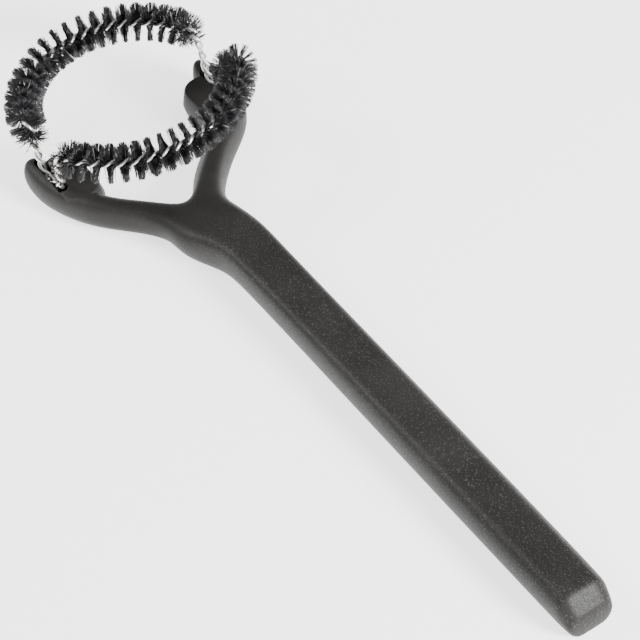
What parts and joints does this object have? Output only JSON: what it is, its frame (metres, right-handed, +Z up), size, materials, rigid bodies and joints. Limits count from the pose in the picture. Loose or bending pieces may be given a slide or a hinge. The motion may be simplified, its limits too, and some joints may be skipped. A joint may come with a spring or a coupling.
{
  "type": "group head ring brush",
  "caption": "Ring-shaped twisted-wire bristle brush held in a Y-shaped fork on a straight moulded handle, for scrubbing a round groove such as an espresso group gasket.",
  "frame": {"origin": "Centre of the footprint, on the plane the tool lies on", "axes": "+X runs along the handle from the bristle ring to the butt, +Y across the fork, +Z up out of the ring's working side"},
  "size_m": [0.2806, 0.0758, 0.0344],
  "materials": {
    "moulding": "fine spark-textured black nylon, smoother on the fork",
    "wire": "bright drawn stainless wire",
    "filament": "stiff black crimpless filament"
  },
  "bodies": {
    "handle": {"handle_fork": "moulding"},
    "brush_ring": {"wire_strand_a": "wire", "wire_strand_b": "wire", "bristles_back": "filament", "bristles_front": "filament"}
  },
  "joints": [
    {"name": "ring_lift", "type": "slide", "parent": "handle", "child": "brush_ring", "axis": [0, 0, 1], "range_m": [0, 0.03]}
  ]
}
